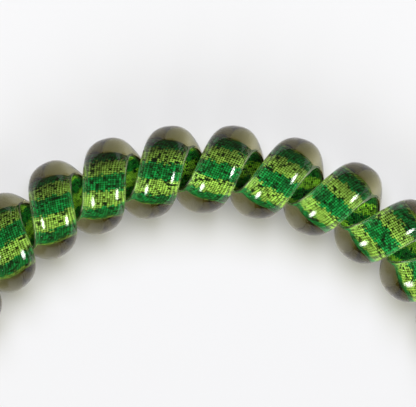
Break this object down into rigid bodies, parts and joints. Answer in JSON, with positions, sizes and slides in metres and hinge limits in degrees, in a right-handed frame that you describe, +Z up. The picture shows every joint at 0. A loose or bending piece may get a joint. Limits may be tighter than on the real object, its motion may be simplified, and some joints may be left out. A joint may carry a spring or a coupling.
{
  "type": "spiral hair tie",
  "caption": "Spiral hair tie: a clear half-round cord with a striped woven ribbon along its flat inner face, wound as a left-handed coil that closes on itself in a ring.",
  "frame": {"origin": "centre of the ring, on the surface that it lies on", "axes": "+Z up, along the ring's axis; the turns are spaced most closely at -X and most widely at +X"},
  "size_m": [0.06, 0.0596, 0.0078],
  "materials": {
    "clear_plastic": "clear, glossy, soft",
    "ribbon": "fine woven ribbon, striped across in emerald, lime and dark green, under a clear glossy film"
  },
  "bodies": {
    "root": {"clear_cord": "clear_plastic", "striped_ribbon": "ribbon"}
  },
  "joints": []
}
